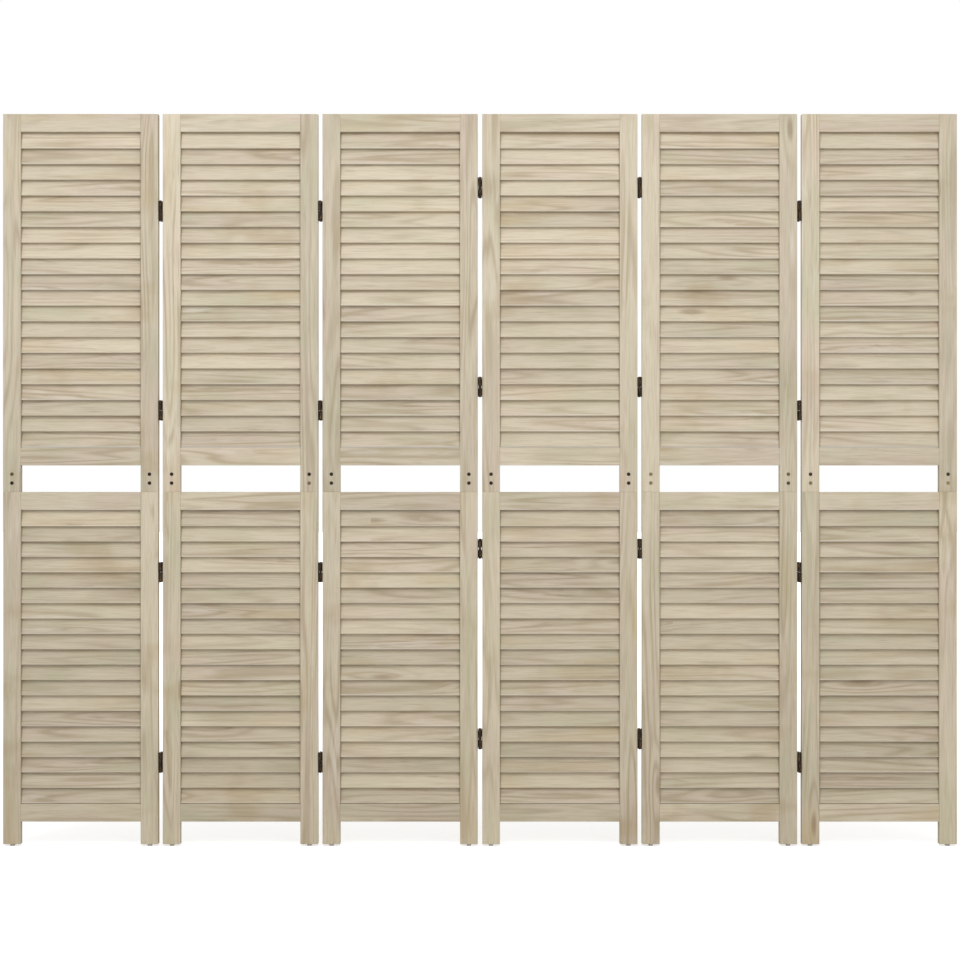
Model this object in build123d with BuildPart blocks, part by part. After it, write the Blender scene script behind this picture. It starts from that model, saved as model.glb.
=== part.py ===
from build123d import *
import os
from math import asin, atan, cos, degrees, hypot, radians, sin

# A louvred folding screen of pale wood, standing unfolded and flat.
# +X runs along the screen, -Y is its front and +Z is up. The origin is on the
# floor, below the middle of the screen. All sizes are in millimetres.

# Panels
panel_count = 6
panel_width = 350.0
panel_gap = 10.0
frame_thickness = 18.0
stile_width = 40.0
rail_height = 40.0
edge_round = 0.8
end_chamfer = 0.8

# Heights, one above the other from the floor to the top rail
glide_height = 4.0
leg_opening = 51.0
lower_louvre = 663.0
window_height = 60.0
upper_louvre = 712.0

# Slats, which lean back from their front lower edge
slat_width = 38.0
slat_thickness = 5.0
slat_face_inset = 1.0
slat_pitch_wanted = 35.0
slat_rail_gap = 0.2
slat_seat = 4.0
slat_edge_round = 1.2

# Glued joints between rails and stiles, and the fit of all wooden seats
tenon_thickness = 6.0
tenon_shoulder = 8.0
tenon_length = 16.0
wood_fit = 0.2

# Connector bolts through the lap between an upper and a lower stile
bolts_per_lap = 2
bolt_radius = 2.5
bolt_head_radius = 4.0
bolt_head_height = 2.2
bolt_recess = 0.4
bolt_socket_radius = 1.9
bolt_socket_depth = 1.4
nut_wall = 0.9
bolt_fit = 0.2
thread_fit = 0.05

# Foot glides, one under each leg, held by a nail
glide_width = 10.0
glide_inset = 1.0
glide_chamfer = 0.8
nail_radius = 1.2
nail_length = 18.0
nail_head_radius = 2.6
nail_head_height = 1.0
nail_recess = 1.0
nail_fit = 0.1

# Heights of the hinges, each from the nearest wooden edge
bottom_hinge_above_rail = 93.0
second_hinge_below_joint = 181.0
third_hinge_above_rail = 84.0
top_hinge_below_top = 218.0
raised_lines = (3, 4)
hinge_stagger = 53.0

# Double-action hinges, each with an upper and a lower half
leaf_thickness = 1.2
leaf_cut_back = 3.0
leaf_step = 1.0
half_height = 21.0
half_gap = 2.0
pin_outset = 1.0
pin_radius = 1.4
pin_fit = 0.05
pin_head_radius = 2.4
pin_head_height = 0.6
pin_head_gap = 0.1
knuckle_near_gap = 0.3
knuckle_far_gap = 1.9
ear_height = 2.5
ear_gap = 0.25
ear_leaf_gap = 0.4
link_thickness = 1.6
link_knuckle_gap = 0.6
screw_radius = 1.4
screw_head_radius = 2.6
screw_length = 15.0
screw_tip = 4.0
screw_tip_taper = 15.0
screw_shift = 2.0
screw_fit = 0.05

# Places along the screen
panel_pitch = panel_width + panel_gap
opening_width = panel_width - 2 * stile_width
stile_offset = (panel_width - stile_width) / 2
half_thickness = frame_thickness / 2

# Heights worked out from the stack
bottom_rail_low = glide_height + leg_opening
lower_louvre_low = bottom_rail_low + rail_height
lower_louvre_high = lower_louvre_low + lower_louvre
joint_height = lower_louvre_high + rail_height
lap_top = joint_height + window_height
upper_louvre_low = lap_top + rail_height
upper_louvre_high = upper_louvre_low + upper_louvre
screen_top = upper_louvre_high + rail_height
rail_lows = (bottom_rail_low, lower_louvre_high, lap_top, upper_louvre_high)

# The slats fill the frame's thickness but for the inset at each face
slat_depth = frame_thickness - 2 * slat_face_inset
slat_diagonal = hypot(slat_width, slat_thickness)
slat_tilt = degrees(asin(slat_depth / slat_diagonal) - atan(slat_thickness / slat_width))
slat_rise = slat_width * cos(radians(slat_tilt)) + slat_thickness * sin(radians(slat_tilt))

# Hinge places: pins stand in the middle of the gap, outside both faces
pin_offset = half_thickness + pin_outset
knuckle_radius = (panel_gap - knuckle_near_gap - knuckle_far_gap) / 2
knuckle_shift = (knuckle_far_gap - knuckle_near_gap) / 2
knuckle_inset = ear_height + ear_gap
ear_radius = panel_gap / 2 - leaf_thickness - ear_leaf_gap
link_reach = pin_offset - knuckle_radius - link_knuckle_gap
half_low = half_gap / 2
half_high = half_low + half_height
low_hinge_heights = (
    lower_louvre_low + bottom_hinge_above_rail,
    joint_height - second_hinge_below_joint,
    upper_louvre_low + third_hinge_above_rail,
    screen_top - top_hinge_below_top,
)


def panel_centre(panel):
    return (panel - (panel_count + 1) / 2) * panel_pitch


# Where a hinge line stands: in the gap on the right of a panel, and raised or not
def line_place(line):
    lift = hinge_stagger if line in raised_lines else 0.0
    return Pos(panel_centre(line) + panel_pitch / 2, 0, lift)


# The hinge lines at a panel's edges. Each comes with the turn that brings a
# left-hand leaf to this panel: none if the panel is on the line's left, and half
# a turn about the line if the panel is on its right.
def panel_lines(panel):
    lines = []
    if panel > 1:
        lines.append((panel - 1, 180.0))
    if panel < panel_count:
        lines.append((panel, 0.0))
    return lines


# The middle heights of the slats between two rails, evenly spread
def slat_heights(low, height):
    travel = height - 2 * slat_rail_gap - slat_rise
    steps = round(travel / slat_pitch_wanted)
    first = low + slat_rail_gap + slat_rise / 2
    return [first + travel * step / steps for step in range(steps + 1)]


# Cross-section of both stiles of a panel. Whole, or only the half on one side
# of the mid-plane: keep -1 is the front half and keep 1 is the back half.
def stile_section(keep=0):
    with Locations(*stile_spots):
        RectangleRounded(stile_width, frame_thickness, edge_round)
    if keep:
        with Locations(*[(x, -keep * half_thickness / 2) for x, y in stile_spots]):
            Rectangle(stile_width, half_thickness, mode=Mode.SUBTRACT)


# Cross-sections of slats or of their seats, turned so that their tops lean back
def slat_section(heights):
    with Locations(*[(0, height) for height in heights]):
        RectangleRounded(slat_thickness, slat_width, slat_edge_round, rotation=-slat_tilt)


def seat_section(heights):
    with Locations(*[(0, height) for height in heights]):
        Rectangle(slat_thickness + 2 * wood_fit, slat_width + 2 * wood_fit, rotation=-slat_tilt)


def tenon_section(lows, fit=0.0):
    with Locations(*[(0, low + rail_height / 2) for low in lows]):
        Rectangle(tenon_thickness + 2 * fit, rail_height - 2 * tenon_shoulder + 2 * fit)


# Places along one panel, which is made around x = 0
stile_spots = [(-stile_offset, 0), (stile_offset, 0)]
bolt_spacing = window_height / (bolts_per_lap + 1)
bolt_heights = [joint_height + bolt_spacing * (i + 1) for i in range(bolts_per_lap)]
bolt_spots = [(x, z) for x, y in stile_spots for z in bolt_heights]
upper_slat_heights = slat_heights(upper_louvre_low, upper_louvre)
lower_slat_heights = slat_heights(lower_louvre_low, lower_louvre)
bolt_face = half_thickness - bolt_recess
bolt_head_back = bolt_face - bolt_head_height
bolt_recess_depth = bolt_recess + bolt_head_height + bolt_fit
bolt_tip = half_thickness / 2
slat_reach = opening_width / 2 + slat_seat
tenon_reach = opening_width / 2 + tenon_length

# Upper stiles: whole above the lap, and a front cheek that hangs in front of the
# lower stile's tongue down to the joint line
with BuildPart() as upper_stiles:
    with BuildSketch(Plane.XY.offset(lap_top)):
        stile_section()
    extrude(amount=screen_top - lap_top)
    with BuildSketch(Plane.XY.offset(joint_height)):
        stile_section(keep=-1)
    extrude(amount=window_height)
    ends = upper_stiles.faces().filter_by(Axis.Z).group_by(Axis.Z)
    chamfer(ends[0].edges() + ends[-1].edges(), end_chamfer)
    with BuildSketch(Plane.YZ):
        seat_section(upper_slat_heights)
    extrude(amount=slat_reach + wood_fit, both=True, mode=Mode.SUBTRACT)
    with BuildSketch(Plane.YZ):
        tenon_section(rail_lows[2:], wood_fit)
    extrude(amount=tenon_reach + wood_fit, both=True, mode=Mode.SUBTRACT)
    with BuildSketch(Plane.XZ):
        with Locations(*bolt_spots):
            Circle(bolt_radius + nut_wall + bolt_fit)
    extrude(amount=half_thickness, mode=Mode.SUBTRACT)
    with BuildSketch(Plane.XZ.offset(half_thickness)):
        with Locations(*bolt_spots):
            Circle(bolt_head_radius + bolt_fit)
    extrude(amount=-bolt_recess_depth, mode=Mode.SUBTRACT)

# Lower stiles: legs at the bottom, whole up to the joint line, and a tongue at
# the back that rises behind the upper stile's cheek
with BuildPart() as lower_stiles:
    with BuildSketch(Plane.XY.offset(glide_height)):
        stile_section()
    extrude(amount=joint_height - glide_height)
    ends = lower_stiles.faces().filter_by(Axis.Z).group_by(Axis.Z)
    chamfer(ends[0].edges() + ends[-1].edges(), end_chamfer)
    with BuildSketch(Plane.XY.offset(lower_louvre_high)):
        stile_section(keep=1)
    extrude(amount=lap_top - lower_louvre_high)
    tongue_ends = lower_stiles.faces().filter_by(Axis.Z).group_by(Axis.Z)[-1]
    chamfer(tongue_ends.edges(), end_chamfer)
    with BuildSketch(Plane.YZ):
        seat_section(lower_slat_heights)
    extrude(amount=slat_reach + wood_fit, both=True, mode=Mode.SUBTRACT)
    with BuildSketch(Plane.YZ):
        tenon_section(rail_lows[:2], wood_fit)
    extrude(amount=tenon_reach + wood_fit, both=True, mode=Mode.SUBTRACT)
    with BuildSketch(Plane.XZ):
        with Locations(*bolt_spots):
            Circle(bolt_radius + nut_wall + bolt_fit)
    extrude(amount=-half_thickness, mode=Mode.SUBTRACT)
    with BuildSketch(Plane.XZ.offset(-half_thickness)):
        with Locations(*bolt_spots):
            Circle(bolt_head_radius + bolt_fit)
    extrude(amount=bolt_recess_depth, mode=Mode.SUBTRACT)
    with BuildSketch(Plane.XY.offset(glide_height)):
        with Locations(*stile_spots):
            Circle(nail_radius + nail_fit)
    extrude(amount=nail_length, mode=Mode.SUBTRACT)

# Four rails, each with a tenon at both ends
with BuildPart() as rails:
    with BuildSketch(Plane.YZ):
        with Locations(*[(0, low + rail_height / 2) for low in rail_lows]):
            RectangleRounded(frame_thickness, rail_height, edge_round)
    extrude(amount=opening_width / 2, both=True)
    with BuildSketch(Plane.YZ):
        tenon_section(rail_lows)
    extrude(amount=tenon_reach, both=True)

with BuildPart() as upper_slats:
    with BuildSketch(Plane.YZ):
        slat_section(upper_slat_heights)
    extrude(amount=slat_reach, both=True)

with BuildPart() as lower_slats:
    with BuildSketch(Plane.YZ):
        slat_section(lower_slat_heights)
    extrude(amount=slat_reach, both=True)

# Connector bolts with a hexagon socket, their heads at the front
with BuildPart() as bolts:
    with BuildSketch(Plane.XZ.offset(bolt_head_back)):
        with Locations(*bolt_spots):
            Circle(bolt_head_radius)
    extrude(amount=bolt_head_height)
    with BuildSketch(Plane.XZ.offset(bolt_head_back)):
        with Locations(*bolt_spots):
            Circle(bolt_radius)
    extrude(amount=-(bolt_head_back + bolt_tip))
    with BuildSketch(Plane.XZ.offset(bolt_face)):
        with Locations(*bolt_spots):
            RegularPolygon(bolt_socket_radius, 6)
    extrude(amount=-bolt_socket_depth, mode=Mode.SUBTRACT)

# Sleeve nuts of the connector bolts, their heads at the back
with BuildPart() as nuts:
    with BuildSketch(Plane.XZ.offset(-bolt_face)):
        with Locations(*bolt_spots):
            Circle(bolt_head_radius)
    extrude(amount=bolt_head_height)
    with BuildSketch(Plane.XZ.offset(-bolt_head_back)):
        with Locations(*bolt_spots):
            Circle(bolt_radius + nut_wall)
    extrude(amount=bolt_head_back)
    with BuildSketch(Plane.XZ):
        with Locations(*bolt_spots):
            Circle(bolt_radius + thread_fit)
    extrude(amount=-(bolt_tip + bolt_fit), mode=Mode.SUBTRACT)

# Foot glides: long pads under the legs, with a sunk hole for the nail's head
with BuildPart() as foot_glides:
    with BuildSketch():
        with Locations(*stile_spots):
            SlotOverall(frame_thickness - 2 * glide_inset, glide_width, rotation=90)
    extrude(amount=glide_height)
    chamfer(foot_glides.faces().filter_by(Axis.Z).group_by(Axis.Z)[0].edges(), glide_chamfer)
    with BuildSketch():
        with Locations(*stile_spots):
            Circle(nail_radius + nail_fit)
    extrude(amount=glide_height, mode=Mode.SUBTRACT)
    with BuildSketch():
        with Locations(*stile_spots):
            Circle(nail_head_radius + nail_fit)
    extrude(amount=nail_recess + nail_head_height + nail_fit, mode=Mode.SUBTRACT)

with BuildPart() as glide_nails:
    with BuildSketch(Plane.XY.offset(nail_recess)):
        with Locations(*stile_spots):
            Circle(nail_head_radius)
    extrude(amount=nail_head_height)
    with BuildSketch(Plane.XY.offset(nail_recess)):
        with Locations(*stile_spots):
            Circle(nail_radius)
    extrude(amount=glide_height - nail_recess + nail_length - nail_fit)

# Left-hand leaves of a hinge line, which is made around x = 0. The upper half of
# a leaf reaches the front pin, its lower half reaches the back pin, and each half
# is cut back from the pin that it misses. A right-hand leaf is the same leaf,
# turned half a turn about the line.
leaf_short = half_thickness - leaf_cut_back
leaf_outline = [
    (-pin_offset, half_high),
    (leaf_short, half_high),
    (leaf_short, leaf_step),
    (pin_offset, -leaf_step),
    (pin_offset, -half_high),
    (-leaf_short, -half_high),
    (-leaf_short, -leaf_step),
    (-pin_offset, leaf_step),
]
leaf_face = Plane.YZ.offset(leaf_thickness - panel_gap / 2)
screw_spots = [
    (-half * screw_shift, height + half * (half_low + half_height / 2))
    for height in low_hinge_heights
    for half in (-1, 1)
]
countersink_angle = 2 * degrees(atan((screw_head_radius - screw_radius) / leaf_thickness))

with BuildPart() as leaves:
    with BuildSketch(Plane.YZ.offset(-panel_gap / 2)):
        with Locations(*[(0, height) for height in low_hinge_heights]):
            Polygon(*leaf_outline, align=None)
    extrude(amount=leaf_thickness)
    for height in low_hinge_heights:
        for half in (-1, 1):
            knuckle_low = height + (half_low if half > 0 else -half_high) + knuckle_inset
            with BuildSketch(Plane.XY.offset(knuckle_low)):
                with Locations((-knuckle_shift, -half * pin_offset)):
                    Circle(knuckle_radius)
                with Locations((0, -half * pin_offset)):
                    Circle(pin_radius + pin_fit, mode=Mode.SUBTRACT)
            extrude(amount=half_height - 2 * knuckle_inset)
    with BuildSketch(leaf_face):
        with Locations(*screw_spots):
            Circle(screw_head_radius + screw_fit)
    extrude(amount=-leaf_thickness, taper=countersink_angle / 2, mode=Mode.SUBTRACT)

# Countersunk wood screws of the left-hand leaves, flush with their faces
with BuildPart() as screws:
    with BuildSketch(leaf_face):
        with Locations(*screw_spots):
            Circle(screw_head_radius)
    extrude(amount=-leaf_thickness, taper=countersink_angle / 2)
    with BuildSketch(Plane.YZ.offset(-panel_gap / 2)):
        with Locations(*screw_spots):
            Circle(screw_radius)
    extrude(amount=screw_tip - screw_length)
    with BuildSketch(Plane.YZ.offset(-panel_gap / 2 + screw_tip - screw_length)):
        with Locations(*screw_spots):
            Circle(screw_radius)
    extrude(amount=-screw_tip, taper=screw_tip_taper)

# What the hinge screws of a left-hand leaf take out of the stile
with BuildPart() as screw_holes:
    with BuildSketch(Plane.YZ.offset(-panel_gap / 2)):
        with Locations(*screw_spots):
            Circle(screw_radius + screw_fit)
    extrude(amount=-(screw_length + screw_fit))


# The links of a hinge line, all in the upper or all in the lower halves of its
# hinges. A link is a web with two ears at each pin, and it carries both pins.
def make_links(half):
    pin_spots = [(0, -pin_offset), (0, pin_offset)]
    with BuildPart() as links:
        for height in low_hinge_heights:
            low = height + (half_low if half > 0 else -half_high)
            high = low + half_height
            with BuildSketch(Plane.XY.offset(low)):
                Rectangle(link_thickness, 2 * link_reach)
            extrude(amount=half_height)
            for ear_low in (low, high - ear_height):
                with BuildSketch(Plane.XY.offset(ear_low)):
                    Rectangle(link_thickness, 2 * pin_offset)
                    with Locations(*pin_spots):
                        Circle(ear_radius)
                        Circle(pin_radius + pin_fit, mode=Mode.SUBTRACT)
                extrude(amount=ear_height)
            pin_low = low - pin_head_gap - pin_head_height
            pin_high = high + pin_head_gap + pin_head_height
            with BuildSketch(Plane.XY.offset(pin_low)):
                with Locations(*pin_spots):
                    Circle(pin_radius)
            extrude(amount=pin_high - pin_low)
            for head_low in (pin_low, pin_high - pin_head_height):
                with BuildSketch(Plane.XY.offset(head_low)):
                    with Locations(*pin_spots):
                        Circle(pin_head_radius)
                extrude(amount=pin_head_height)
    return links.part


# A piece made around x = 0, joined by copies of what its hinge lines bring along
def place_pieces(panel, panel_pieces, line_pieces):
    with BuildPart() as placed:
        for piece in panel_pieces:
            add(Pos(panel_centre(panel), 0, 0) * piece)
        for line, turn in panel_lines(panel):
            for piece in line_pieces:
                add(line_place(line) * Rot(0, 0, turn) * piece)
    return placed.part


# Stiles of one panel, drilled for the hinge screws at its edges
def drill(panel, stiles):
    with BuildPart() as drilled:
        add(Pos(panel_centre(panel), 0, 0) * stiles)
        for line, turn in panel_lines(panel):
            add(line_place(line) * Rot(0, 0, turn) * screw_holes.part, mode=Mode.SUBTRACT)
    return drilled.part


def save(shape, name):
    shape.label = name
    export_step(shape, f"parts/{name}.step")


os.makedirs("parts", exist_ok=True)

for panel in range(1, panel_count + 1):
    save(drill(panel, upper_stiles.part), f"panel_{panel}_upper_stiles")
    save(drill(panel, lower_stiles.part), f"panel_{panel}_lower_stiles")
    save(Pos(panel_centre(panel), 0, 0) * rails.part, f"panel_{panel}_rails")
    save(Pos(panel_centre(panel), 0, 0) * upper_slats.part, f"panel_{panel}_upper_slats")
    save(Pos(panel_centre(panel), 0, 0) * lower_slats.part, f"panel_{panel}_lower_slats")
    save(Pos(panel_centre(panel), 0, 0) * foot_glides.part, f"panel_{panel}_foot_glides")
    panel_fasteners = [bolts.part, nuts.part, glide_nails.part]
    save(place_pieces(panel, panel_fasteners, [screws.part]), f"panel_{panel}_fasteners")
    save(place_pieces(panel, [], [leaves.part]), f"panel_{panel}_hinge_leaves")

upper_links = make_links(1)
lower_links = make_links(-1)
for line in range(1, panel_count):
    save(line_place(line) * upper_links, f"hinge_line_{line}_upper_links")
    save(line_place(line) * lower_links, f"hinge_line_{line}_lower_links")
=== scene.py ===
import bpy
from math import asin, atan2, cos, hypot, pi, sin
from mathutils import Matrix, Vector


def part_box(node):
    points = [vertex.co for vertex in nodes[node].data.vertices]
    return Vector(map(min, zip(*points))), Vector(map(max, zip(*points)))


# Louvred folding screen of pale, limewashed wood. All sizes are in metres.
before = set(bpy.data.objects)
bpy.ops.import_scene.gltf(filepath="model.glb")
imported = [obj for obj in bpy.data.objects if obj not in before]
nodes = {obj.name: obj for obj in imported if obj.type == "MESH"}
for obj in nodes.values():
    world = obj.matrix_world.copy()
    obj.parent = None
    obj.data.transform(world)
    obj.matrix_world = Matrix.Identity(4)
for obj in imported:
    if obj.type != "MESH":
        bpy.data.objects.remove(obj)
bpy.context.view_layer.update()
print("frame loaded:", len(nodes), "nodes")

panelCount = 6
panelPitch = 0.360
stileOffset = 0.155
stileWidth = 0.040
halfThickness = 0.009
openingWidth = 0.270


# Shader helpers
curve = {"knee": 0.04045, "slope": 12.92, "offset": 0.055, "power": 2.4}  # of screen values


def tint(red, green, blue):  # a colour picked as 0-255 screen values
    linear = []
    for value in (red / 255, green / 255, blue / 255):
        raised = (value + curve["offset"]) / (1 + curve["offset"])
        linear.append(value / curve["slope"] if value <= curve["knee"] else raised ** curve["power"])
    return (*linear, 1.0)


def feed(tree, socket, value):
    if isinstance(value, bpy.types.NodeSocket):
        tree.links.new(value, socket)
    else:
        socket.default_value = value


def newMaterial(name):
    material = bpy.data.materials.new(name)
    material.use_nodes = True
    tree = material.node_tree
    return material, tree, tree.nodes["Principled BSDF"]


def calc(tree, operation, *values):
    node = tree.nodes.new("ShaderNodeMath")
    node.operation = operation
    for socket, value in zip(node.inputs, values):
        feed(tree, socket, value)
    return node.outputs[0]


def spread(tree, value, low, high, toLow=0.0, toHigh=1.0):  # smooth step from low to high
    node = tree.nodes.new("ShaderNodeMapRange")
    node.interpolation_type = "SMOOTHSTEP"
    entries = {"Value": value, "From Min": low, "From Max": high, "To Min": toLow, "To Max": toHigh}
    for name, entry in entries.items():
        feed(tree, node.inputs[name], entry)
    return node.outputs[0]


def blendColours(tree, factor, first, second, mode="MIX"):
    node = tree.nodes.new("ShaderNodeMix")
    node.data_type = "RGBA"
    node.blend_type = mode
    feed(tree, node.inputs[0], factor)
    feed(tree, node.inputs[6], first)
    feed(tree, node.inputs[7], second)
    return node.outputs[2]


def splitObjectPlace(tree):
    place = tree.nodes.new("ShaderNodeTexCoord")
    split = tree.nodes.new("ShaderNodeSeparateXYZ")
    tree.links.new(place.outputs["Object"], split.inputs[0])
    return place.outputs["Object"], split.outputs[0], split.outputs[1], split.outputs[2]


def joinAxes(tree, x, y, z):
    node = tree.nodes.new("ShaderNodeCombineXYZ")
    for socket, value in zip(node.inputs, (x, y, z)):
        feed(tree, socket, value)
    return node.outputs[0]


def stretch(tree, vector, sizes, shift=None):
    node = tree.nodes.new("ShaderNodeVectorMath")
    node.operation = "MULTIPLY_ADD"
    feed(tree, node.inputs[0], vector)
    node.inputs[1].default_value = sizes
    feed(tree, node.inputs[2], shift if shift is not None else (0.0, 0.0, 0.0))
    return node.outputs[0]


def noise(tree, vector, scale=1.0, detail=2.0, roughness=0.5, distortion=0.0):
    node = tree.nodes.new("ShaderNodeTexNoise")
    feed(tree, node.inputs["Vector"], vector)
    node.inputs["Scale"].default_value = scale
    node.inputs["Detail"].default_value = detail
    node.inputs["Roughness"].default_value = roughness
    node.inputs["Distortion"].default_value = distortion
    return node.outputs["Fac"]


def dice(tree, vector):  # the same random value and colour all over one board
    node = tree.nodes.new("ShaderNodeTexWhiteNoise")
    node.noise_dimensions = "3D"
    feed(tree, node.inputs["Vector"], vector)
    return node.outputs["Value"], node.outputs["Color"]


def addBump(tree, shader, height, strength, distance):
    node = tree.nodes.new("ShaderNodeBump")
    node.inputs["Strength"].default_value = strength
    node.inputs["Distance"].default_value = distance
    feed(tree, node.inputs["Height"], height)
    tree.links.new(node.outputs[0], shader.inputs["Normal"])


# Limewashed wood
wood = {
    "pale": tint(216, 205, 183),       # plain limewashed face
    "ring": tint(168, 151, 122),       # darker lines of the figure
    "pink": tint(208, 190, 174),
    "green": tint(194, 191, 163),
    "ochre": tint(201, 180, 142),
    "streak": tint(140, 118, 86),      # short dark streaks and knots
    "dirtAndShade": tint(124, 106, 78),       # dirt and painted shade where boards meet: dirt in the rail joints, painted shade in the corners and recesses at the slats
    "weather": tint(184, 163, 128),    # brownish patches that run over several boards
    "worn": tint(225, 218, 203),       # thick wash left in patches, and the painted highlight on the slats' lit front edges
    "lowShade": tint(240, 239, 236),   # painted shade that darkens the lower half, as a multiplier
    "boardShift": (31.0, 47.0, 23.0),  # how far apart two boards lie in the noise
    "boardSpread": 0.16,               # from the darkest to the lightest board
    "cloudSize": (4.0, 12.0, 12.0),
    "knotSize": (4.2, 17.0, 17.0),
    "knotsWithout": 0.82,              # share of the knot places that stay plain
    "knotPullEnd": 0.55,
    "knotCoreRange": (0.05, 0.17),
    "knotBend": 0.16,                  # how far a knot bends the figure
    "figureRings": 54.0,
    "ringSharpness": 2.2,
    "highlightRange": (0.40, 0.62),
    "roughness": 0.62,
    "fibreRoughness": 0.22,
    "wornSmooth": 0.08,
    "specular": 0.30,
    "ringRelief": -0.35,
    "fibreRelief": 0.8,
    "streakRelief": 0.5,
    "bump": 0.35,
    "bumpDistance": 0.0006,
}
# sizes are noise cells per metre along, across and through a board
woodNoise = {
    "figure": {"size": (1.5, 24.0, 24.0), "detail": 1.2, "roughness": 0.35, "distortion": 0.25},
    "fade": {"size": (2.4, 14.0, 14.0), "detail": 2.0, "range": (0.34, 0.68)},
    "fibres": {"size": (16.0, 520.0, 520.0), "detail": 3.0, "roughness": 0.62, "range": (0.40, 0.75)},
    "streaks": {"size": (9.0, 210.0, 210.0), "detail": 2.0, "roughness": 0.6, "range": (0.64, 0.80)},
    "stains": {
        "size": (7.0, 42.0, 42.0),
        "detail": 3.0,
        "roughness": 0.6,
        "distortion": 0.4,
        "range": (0.60, 0.82),
    },
    "wornPatch": {"size": (3.2, 26.0, 26.0), "detail": 4.0, "roughness": 0.65, "range": (0.60, 0.74)},
    "patches": {"size": (5.0, 5.0, 7.0), "detail": 3.0, "roughness": 0.55, "range": (0.55, 0.76)},
}
# tints left by the wash, as sizes and shifts within the cloud noise
woodClouds = {
    "pink": {"size": (1.0, 1.0, 1.0), "shift": (0.0, 0.0, 0.0), "detail": 2.0, "range": (0.42, 0.66)},
    "green": {"size": (1.1, 1.1, 1.1), "shift": (7.3, 2.1, 5.7), "detail": 2.0, "range": (0.46, 0.72)},
    "ochre": {"size": (0.8, 1.3, 1.3), "shift": (1.9, 8.3, 3.1), "detail": 3.0, "range": (0.54, 0.80)},
}
# how much of each coat shows where its mask is full
woodShare = {
    "pink": 0.55,
    "green": 0.55,
    "ochre": 0.65,
    "patches": 0.55,
    "rings": 0.62,
    "fibres": 0.40,
    "wornPatch": 0.55,
    "streaks": 0.36,
    "stains": 0.42,
    "knotCore": 0.55,
}
screenHeight = 1.65


def layerNoise(tree, layer, place, shift=None):
    spot = stretch(tree, place, layer["size"], shift)
    roughness = layer.get("roughness", 0.5)
    return noise(tree, spot, 1.0, layer["detail"], roughness, layer.get("distortion", 0.0))


def layerMask(tree, layer, place, shift=None):
    low, high = layer["range"]
    return spread(tree, layerNoise(tree, layer, place, shift), low, high)


# rare knots: how much each bends the figure, and its dark core
def makeKnots(tree, local, shift):
    cells = tree.nodes.new("ShaderNodeTexVoronoi")
    cells.feature = "F1"
    feed(tree, cells.inputs["Vector"], stretch(tree, local, wood["knotSize"], shift))
    cells.inputs["Scale"].default_value = 1.0
    rare = calc(tree, "GREATER_THAN", dice(tree, cells.outputs["Position"])[0], wood["knotsWithout"])
    distance = cells.outputs["Distance"]
    coreFrom, coreTo = wood["knotCoreRange"]
    pull = calc(tree, "MULTIPLY", spread(tree, distance, 0.0, wood["knotPullEnd"], 1.0, 0.0), rare)
    core = calc(tree, "MULTIPLY", spread(tree, distance, coreFrom, coreTo, 1.0, 0.0), rare)
    return pull, core
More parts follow.
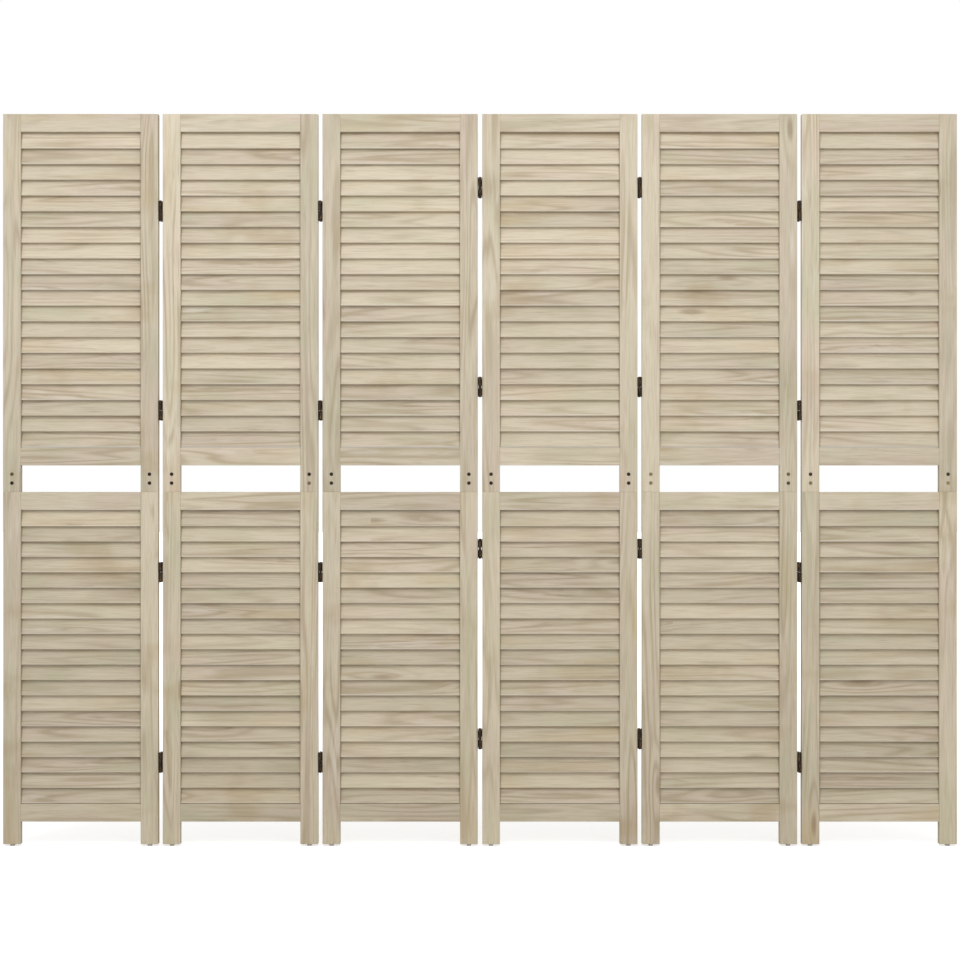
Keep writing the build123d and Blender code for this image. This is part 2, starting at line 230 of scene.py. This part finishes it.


# along, across and depth are places on the board, board is the vector that names it, the dark mask is 1
# where boards meet, as dirt in the rail joints and as painted shade at the slats, and the pale mask is 1
# where a slat's lit front edge has a painted highlight
def finishWood(material, tree, shader, along, across, depth, board, height, dirtAndShade, paintedHighlight=0.0):
    randomValue, randomColour = dice(tree, board)
    shift = stretch(tree, randomColour, wood["boardShift"])
    local = joinAxes(tree, along, across, depth)
    knotPull, knotCore = makeKnots(tree, local, shift)

    # growth rings as contour lines of a long, soft noise
    figure = layerNoise(tree, woodNoise["figure"], local, shift)
    figure = calc(tree, "ADD", figure, calc(tree, "MULTIPLY", knotPull, wood["knotBend"]))
    rings = calc(tree, "SINE", calc(tree, "MULTIPLY", figure, wood["figureRings"]))
    rings = calc(tree, "POWER", calc(tree, "MULTIPLY_ADD", rings, 0.5, 0.5), wood["ringSharpness"])
    fade = layerNoise(tree, woodNoise["fade"], local, shift)
    fadeFrom, fadeTo = woodNoise["fade"]["range"]
    rings = calc(tree, "MULTIPLY", rings, spread(tree, fade, fadeFrom, fadeTo))

    fibres = layerNoise(tree, woodNoise["fibres"], local, shift)
    fibresFrom, fibresTo = woodNoise["fibres"]["range"]
    streaks = layerMask(tree, woodNoise["streaks"], local, shift)
    stains = layerMask(tree, woodNoise["stains"], local, shift)
    wornPatch = layerMask(tree, woodNoise["wornPatch"], local, shift)
    patches = layerMask(tree, woodNoise["patches"], splitObjectPlace(tree)[0])

    colour = wood["pale"]
    cloudPlace = stretch(tree, local, wood["cloudSize"], shift)
    for name, cloud in woodClouds.items():
        mask = layerMask(tree, cloud, cloudPlace, cloud["shift"])
        colour = blendColours(tree, calc(tree, "MULTIPLY", mask, woodShare[name]), colour, wood[name])
    for mask, share, name in (
        (patches, woodShare["patches"], "weather"),
        (rings, woodShare["rings"], "ring"),
        (spread(tree, fibres, fibresFrom, fibresTo), woodShare["fibres"], "ring"),
        (wornPatch, woodShare["wornPatch"], "worn"),
        (streaks, woodShare["streaks"], "streak"),
        (stains, woodShare["stains"], "streak"),
        (knotCore, woodShare["knotCore"], "streak"),
    ):
        colour = blendColours(tree, calc(tree, "MULTIPLY", mask, share), colour, wood[name])
    # a painted highlight along a slat's lit front edge, in patches
    highlightFrom, highlightTo = wood["highlightRange"]
    lightened = calc(tree, "MULTIPLY", spread(tree, fade, highlightFrom, highlightTo), paintedHighlight)
    colour = blendColours(tree, lightened, colour, wood["worn"])
    # dirt in the rail joints, and painted shade in the corners where the slats meet the stiles and under
    # each slat above
    colour = blendColours(tree, dirtAndShade, colour, wood["dirtAndShade"])

    # each board has its own tone, and the lower half of the screen is painted darker, as painted shade
    # that grows towards the floor
    tone = calc(tree, "MULTIPLY_ADD", randomValue, wood["boardSpread"], 1.0 - wood["boardSpread"] / 2)
    colour = blendColours(tree, 1.0, colour, joinAxes(tree, tone, tone, tone), "MULTIPLY")
    low = spread(tree, height, 0.0, screenHeight, 1.0, 0.0)
    shaded = blendColours(tree, 1.0, colour, wood["lowShade"], "MULTIPLY")
    feed(tree, shader.inputs["Base Color"], blendColours(tree, low, colour, shaded))

    rough = calc(tree, "MULTIPLY_ADD", fibres, wood["fibreRoughness"], wood["roughness"])
    smoother = calc(tree, "MULTIPLY", wornPatch, wood["wornSmooth"])
    feed(tree, shader.inputs["Roughness"], calc(tree, "SUBTRACT", rough, smoother))
    shader.inputs["Specular IOR Level"].default_value = wood["specular"]
    fibreRelief = calc(tree, "MULTIPLY", fibres, wood["fibreRelief"])
    relief = calc(tree, "MULTIPLY_ADD", rings, wood["ringRelief"], fibreRelief)
    relief = calc(tree, "SUBTRACT", relief, calc(tree, "MULTIPLY", streaks, wood["streakRelief"]))
    addBump(tree, shader, relief, wood["bump"], wood["bumpDistance"])
    return material


# the number of the panel that a point is on, and its distance from that panel's middle
def placeOnPanel(tree, x):
    fromLeftEnd = calc(tree, "ADD", x, panelCount * panelPitch / 2)
    panel = calc(tree, "FLOOR", calc(tree, "DIVIDE", fromLeftEnd, panelPitch))
    middle = calc(tree, "MULTIPLY_ADD", panel, panelPitch, -(panelCount - 1) * panelPitch / 2)
    return panel, calc(tree, "SUBTRACT", x, middle)


stileWood = {
    "seamWidth": 0.0010,
    "seamDirtAndShade": 0.20,
    "upperSeed": 1.0,
    "lowerSeed": 2.0,
}


def makeStileWood(name, seed):
    material, tree, shader = newMaterial(name)
    _, x, y, z = splitObjectPlace(tree)
    panel, onPanel = placeOnPanel(tree, x)
    side = calc(tree, "SIGN", onPanel)
    across = calc(tree, "SUBTRACT", onPanel, calc(tree, "MULTIPLY", side, stileOffset))
    board = joinAxes(tree, panel, side, seed)
    # a little painted shade along the edge that faces the slats, in the corner where they meet the stile
    inward = calc(tree, "MULTIPLY", across, calc(tree, "MULTIPLY", side, -1.0))
    seamFrom = stileWidth / 2 - stileWood["seamWidth"]
    edge = spread(tree, inward, seamFrom, stileWidth / 2, 0.0, stileWood["seamDirtAndShade"])
    return finishWood(material, tree, shader, z, across, y, board, z, edge)


railWood = {
    "seamWidth": 0.0008,
    "seamDirtAndShade": 0.15,
    "levelStep": 0.1,        # each rail lies in a step of height of its own
    "seed": 9.0,
}


def makeRailWood(name):
    material, tree, shader = newMaterial(name)
    _, x, y, z = splitObjectPlace(tree)
    panel, onPanel = placeOnPanel(tree, x)
    level = calc(tree, "FLOOR", calc(tree, "DIVIDE", z, railWood["levelStep"]))
    board = joinAxes(tree, panel, level, railWood["seed"])
    # a thin line of dirt where a rail meets its stiles
    reach = calc(tree, "ABSOLUTE", onPanel)
    seamFrom = openingWidth / 2 - railWood["seamWidth"]
    seam = spread(tree, reach, seamFrom, openingWidth / 2, 0.0, railWood["seamDirtAndShade"])
    return finishWood(material, tree, shader, onPanel, z, y, board, z, seam)


slatWood = {
    "width": 0.038,
    "thickness": 0.005,
    "depth": 0.016,          # from face to face of a leaning slat
    "endWidth": 0.0035,      # painted shade at the slat ends, in the corners by the stiles
    "endFull": 0.0002,       # where that painted shade is darkest
    "endShade": 0.55,
    "topRange": (0.36, 0.48),        # shares of the width, from the middle up
    "topShade": 0.35,
    "edgeRange": (-0.49, -0.42),     # the same, down to the front edge
    "edgeHighlight": 0.75,
    "upperCount": 20,
    "lowerCount": 19,
    "upperSeed": 3.0,
    "lowerSeed": 4.0,
}


def makeSlatWood(name, node, count, seed):
    lowest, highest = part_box(node)
    width, thickness = slatWood["width"], slatWood["thickness"]
    lean = asin(slatWood["depth"] / hypot(width, thickness)) - atan2(thickness, width)
    rise = width * cos(lean) + thickness * sin(lean)
    first = lowest[2] + rise / 2
    pitch = (highest[2] - lowest[2] - rise) / (count - 1)
    material, tree, shader = newMaterial(name)
    _, x, y, z = splitObjectPlace(tree)
    panel, onPanel = placeOnPanel(tree, x)
    # a point's slat, counted upwards, from its place square to the leaning slats
    above = calc(tree, "SUBTRACT", z, first)
    yCos = calc(tree, "MULTIPLY", y, cos(lean))
    skew = calc(tree, "SUBTRACT", calc(tree, "MULTIPLY", above, sin(lean)), yCos)
    index = calc(tree, "ROUND", calc(tree, "DIVIDE", skew, pitch * sin(lean)))
    above = calc(tree, "SUBTRACT", above, calc(tree, "MULTIPLY", index, pitch))
    ySin = calc(tree, "MULTIPLY", y, sin(lean))
    across = calc(tree, "ADD", calc(tree, "MULTIPLY", above, cos(lean)), ySin)
    through = calc(tree, "SUBTRACT", yCos, calc(tree, "MULTIPLY", above, sin(lean)))
    board = joinAxes(tree, panel, index, seed)
    # painted shade at both ends, in the corners by the stiles, and towards the top edge covered by the
    # slat above, and a painted highlight along the lit front edge
    reach = calc(tree, "ABSOLUTE", onPanel)
    endFrom = openingWidth / 2 - slatWood["endWidth"]
    endTo = openingWidth / 2 - slatWood["endFull"]
    ends = spread(tree, reach, endFrom, endTo, 0.0, slatWood["endShade"])
    topFrom, topTo = [share * width for share in slatWood["topRange"]]
    top = spread(tree, across, topFrom, topTo, 0.0, slatWood["topShade"])
    edgeFrom, edgeTo = [share * width for share in slatWood["edgeRange"]]
    # a painted highlight along the lit front edge
    front = spread(tree, across, edgeFrom, edgeTo, slatWood["edgeHighlight"], 0.0)
    darkening = calc(tree, "MAXIMUM", ends, top)
    return finishWood(material, tree, shader, onPanel, across, through, board, z, darkening, front)


# Metal and plastic
bronze = {
    "dark": tint(32, 25, 19),
    "brown": tint(62, 48, 34),
    "lightened": tint(128, 104, 74),
    "mottle": {"scale": 190.0, "detail": 4.0, "roughness": 0.6, "range": (0.38, 0.68)},
    "patches": {"scale": 60.0, "detail": 2.0},
    "crownPatches": {"size": (900.0, 900.0, 140.0), "detail": 3.0, "range": (0.52, 0.70)},
    "crownPatchShare": 0.65,
    "proudBy": 0.004,        # how far a crown stands out where its lighter colour is full
    "metallic": 0.75,
    "roughness": 0.34,
    "patchRoughness": 0.25,
    "bump": 0.25,
    "bumpDistance": 0.0003,
}


def makeBronze(name):
    material, tree, shader = newMaterial(name)
    place, _, y, _ = splitObjectPlace(tree)
    look = bronze["mottle"]
    mottle = noise(tree, place, look["scale"], look["detail"], look["roughness"])
    patches = noise(tree, place, bronze["patches"]["scale"], bronze["patches"]["detail"])
    # knuckles stand proud of the wood, and their crowns are lighter there, in patches
    outward = calc(tree, "ABSOLUTE", y)
    proud = spread(tree, outward, halfThickness, halfThickness + bronze["proudBy"])
    crownPatches = calc(tree, "MULTIPLY", layerMask(tree, bronze["crownPatches"], place), bronze["crownPatchShare"])
    mottleFrom, mottleTo = look["range"]
    stained = spread(tree, mottle, mottleFrom, mottleTo)
    colour = blendColours(tree, stained, bronze["dark"], bronze["brown"])
    colour = blendColours(tree, calc(tree, "MULTIPLY", proud, crownPatches), colour, bronze["lightened"])
    feed(tree, shader.inputs["Base Color"], colour)
    shader.inputs["Metallic"].default_value = bronze["metallic"]
    rough = calc(tree, "MULTIPLY_ADD", patches, bronze["patchRoughness"], bronze["roughness"])
    feed(tree, shader.inputs["Roughness"], rough)
    addBump(tree, shader, mottle, bronze["bump"], bronze["bumpDistance"])
    return material


fastener = {
    "black": tint(38, 33, 27),
    "brass": tint(150, 132, 92),
    "steel": tint(120, 108, 86),
    "mottle": {"scale": 420.0, "detail": 3.0, "roughness": 0.6, "range": (0.25, 0.60)},
    "leastShine": 0.55,
    "metallic": 0.7,
    "roughness": 0.28,
    "mottleRoughness": 0.30,
    "bump": 0.2,
    "bumpDistance": 0.0002,
    "boltReach": 0.02,       # bolts lie this close to the joint between the frames
}
# how brassy the four bolts of each panel look: left upper, left lower, right upper, right lower
boltShine = {
    1: (0.45, 0.05, 0.05, 0.05),
    2: (0.05, 0.05, 0.05, 0.75),
    3: (0.05, 0.10, 0.05, 0.10),
    4: (0.10, 0.05, 0.05, 0.05),
    5: (0.95, 0.90, 0.50, 0.25),
    6: (0.10, 0.75, 0.10, 0.95),
}
joinHeight = 0.828


def makeFastenerMetal(name, panel):
    material, tree, shader = newMaterial(name)
    place, x, _, z = splitObjectPlace(tree)
    _, onPanel = placeOnPanel(tree, x)
    right = calc(tree, "GREATER_THAN", onPanel, 0.0)
    upper = calc(tree, "GREATER_THAN", z, joinHeight)
    leftUpper, leftLower, rightUpper, rightLower = boltShine[panel]
    onLeft = calc(tree, "MULTIPLY_ADD", upper, leftUpper - leftLower, leftLower)
    onRight = calc(tree, "MULTIPLY_ADD", upper, rightUpper - rightLower, rightLower)
    step = calc(tree, "MULTIPLY", right, calc(tree, "SUBTRACT", onRight, onLeft))
    shine = calc(tree, "ADD", onLeft, step)
    look = fastener["mottle"]
    mottle = noise(tree, place, look["scale"], look["detail"], look["roughness"])
    mottleFrom, mottleTo = look["range"]
    dulled = spread(tree, mottle, mottleFrom, mottleTo, fastener["leastShine"], 1.0)
    shine = calc(tree, "MULTIPLY", shine, dulled)
    colour = blendColours(tree, shine, fastener["black"], fastener["brass"])
    # screws and nails, away from the bolts, are plain dark steel
    fromJoin = calc(tree, "ABSOLUTE", calc(tree, "SUBTRACT", z, joinHeight))
    nearBolts = calc(tree, "LESS_THAN", fromJoin, fastener["boltReach"])
    plain = blendColours(tree, mottle, fastener["black"], fastener["steel"])
    feed(tree, shader.inputs["Base Color"], blendColours(tree, nearBolts, plain, colour))
    shader.inputs["Metallic"].default_value = fastener["metallic"]
    rough = calc(tree, "MULTIPLY_ADD", mottle, fastener["mottleRoughness"], fastener["roughness"])
    feed(tree, shader.inputs["Roughness"], rough)
    addBump(tree, shader, mottle, fastener["bump"], fastener["bumpDistance"])
    return material


glide = {
    "grey": tint(176, 170, 156),
    "darkening": tint(120, 110, 92),
    "grain": {"scale": 700.0, "detail": 3.0},
    "dirtNoise": {"scale": 130.0, "detail": 4.0, "roughness": 0.65, "range": (0.45, 0.75)},
    "dirtHeight": 0.0022,
    "dirtBelow": 0.75,
    "dirtAbove": 0.15,
    "roughness": 0.55,
    "grainRoughness": 0.2,
    "bump": 0.3,
    "bumpDistance": 0.0002,
}


def makeGlidePlastic(name):
    material, tree, shader = newMaterial(name)
    place, _, _, z = splitObjectPlace(tree)
    grain = noise(tree, place, glide["grain"]["scale"], glide["grain"]["detail"])
    look = glide["dirtNoise"]
    dirtFrom, dirtTo = look["range"]
    darkening = noise(tree, place, look["scale"], look["detail"], look["roughness"])
    darkening = spread(tree, darkening, dirtFrom, dirtTo)
    low = spread(tree, z, 0.0, glide["dirtHeight"], glide["dirtBelow"], glide["dirtAbove"])
    colour = blendColours(tree, calc(tree, "MULTIPLY", darkening, low), glide["grey"], glide["darkening"])
    feed(tree, shader.inputs["Base Color"], colour)
    rough = calc(tree, "MULTIPLY_ADD", grain, glide["grainRoughness"], glide["roughness"])
    feed(tree, shader.inputs["Roughness"], rough)
    addBump(tree, shader, grain, glide["bump"], glide["bumpDistance"])
    return material


def dress(node, material):
    piece = nodes[node]
    if not piece.material_slots:
        piece.data.materials.append(material)
    for entry in piece.material_slots:
        entry.material = material


upperStileWood = makeStileWood("limewashed stile, upper", stileWood["upperSeed"])
lowerStileWood = makeStileWood("limewashed stile, lower", stileWood["lowerSeed"])
railMaterial = makeRailWood("limewashed rail")
upperSlatWood = makeSlatWood(
    "limewashed slat, upper", "panel_1_upper_slats", slatWood["upperCount"], slatWood["upperSeed"],
)
lowerSlatWood = makeSlatWood(
    "limewashed slat, lower", "panel_1_lower_slats", slatWood["lowerCount"], slatWood["lowerSeed"],
)
bronzeMaterial = makeBronze("antique bronze")
glideMaterial = makeGlidePlastic("pale glide plastic")
for panel in range(1, panelCount + 1):
    dress(f"panel_{panel}_upper_stiles", upperStileWood)
    dress(f"panel_{panel}_lower_stiles", lowerStileWood)
    dress(f"panel_{panel}_rails", railMaterial)
    dress(f"panel_{panel}_upper_slats", upperSlatWood)
    dress(f"panel_{panel}_lower_slats", lowerSlatWood)
    dress(f"panel_{panel}_hinge_leaves", bronzeMaterial)
    dress(f"panel_{panel}_foot_glides", glideMaterial)
    dress(f"panel_{panel}_fasteners", makeFastenerMetal(f"bolt metal {panel}", panel))
for line in range(1, panelCount):
    dress(f"hinge_line_{line}_upper_links", bronzeMaterial)
    dress(f"hinge_line_{line}_lower_links", bronzeMaterial)
print("materials done:", len(bpy.data.materials))

# Floor, light and camera
white = (1.0, 1.0, 1.0, 1.0)
studio = {
    "floorSize": 60.0,
    "floorColour": (0.86, 0.86, 0.86, 1.0),
    "floorRoughness": 0.9,
    "floorSpecular": 0.1,
    "floorGlow": 0.52,
    "whiteFrom": 1.2,          # the floor fades to the white backdrop between these distances
    "whiteTo": 4.0,
    "worldLight": 0.60,
    "key": {"power": 62.0, "size": (3.0, 2.0), "place": (-1.0, -3.2, 3.4), "target": (0.0, 0.0, 0.9)},
    "fill": {"power": 26.0, "size": (2.5, 2.5), "place": (2.2, -4.0, 1.6), "target": (0.0, 0.0, 0.8)},
    "cameraDistance": 5.0,
    "cameraHeight": 0.825,
    "lens": 83.05,
    "sensor": 36.0,
}

bpy.ops.object.select_all(action="DESELECT")
bpy.ops.mesh.primitive_plane_add(size=studio["floorSize"], location=(0.0, 0.0, 0.0))
floor = bpy.context.object
floor.name = "floor"
floorMaterial, floorTree, floorShader = newMaterial("pale floor")
floorShader.inputs["Base Color"].default_value = studio["floorColour"]
floorShader.inputs["Roughness"].default_value = studio["floorRoughness"]
floorShader.inputs["Specular IOR Level"].default_value = studio["floorSpecular"]
rays = floorTree.nodes.new("ShaderNodeLightPath")
_, floorX, floorY, _ = splitObjectPlace(floorTree)
xSquared = calc(floorTree, "MULTIPLY", floorX, floorX)
ySquared = calc(floorTree, "MULTIPLY", floorY, floorY)
farAway = calc(floorTree, "SQRT", calc(floorTree, "ADD", xSquared, ySquared))
glow = spread(floorTree, farAway, studio["whiteFrom"], studio["whiteTo"], studio["floorGlow"], 1.0)
seenGlow = calc(floorTree, "MULTIPLY", rays.outputs["Is Camera Ray"], glow)
floorShader.inputs["Emission Color"].default_value = white
feed(floorTree, floorShader.inputs["Emission Strength"], seenGlow)
floor.data.materials.append(floorMaterial)

world = bpy.data.worlds.new("studio")
bpy.context.scene.world = world
world.use_nodes = True
worldTree = world.node_tree
background = worldTree.nodes["Background"]
background.inputs["Color"].default_value = white
# the backdrop looks white, while the light that it gives is softer
worldRays = worldTree.nodes.new("ShaderNodeLightPath")
seen = calc(worldTree, "MAXIMUM", worldRays.outputs["Is Camera Ray"], worldRays.outputs["Is Glossy Ray"])
worldStrength = calc(worldTree, "MULTIPLY_ADD", seen, 1.0 - studio["worldLight"], studio["worldLight"])
feed(worldTree, background.inputs["Strength"], worldStrength)


def addPanelLight(name):
    panelLight = studio[name]
    light = bpy.data.lights.new(name, "AREA")
    light.energy = panelLight["power"]
    light.shape = "RECTANGLE"
    light.size, light.size_y = panelLight["size"]
    lamp = bpy.data.objects.new(name, light)
    bpy.context.scene.collection.objects.link(lamp)
    lamp.location = panelLight["place"]
    away = [a - b for a, b in zip(panelLight["place"], panelLight["target"])]
    lamp.rotation_euler = (atan2(hypot(away[0], away[1]), away[2]), 0.0, atan2(away[0], -away[1]))


addPanelLight("key")
addPanelLight("fill")

cameraData = bpy.data.cameras.new("camera")
cameraData.lens = studio["lens"]
cameraData.sensor_width = studio["sensor"]
camera = bpy.data.objects.new("camera", cameraData)
bpy.context.scene.collection.objects.link(camera)
camera.location = (0.0, -studio["cameraDistance"], studio["cameraHeight"])
camera.rotation_euler = (pi / 2, 0.0, 0.0)
bpy.context.scene.camera = camera
bpy.context.scene.view_settings.view_transform = "Standard"
print("stage, light and camera done")
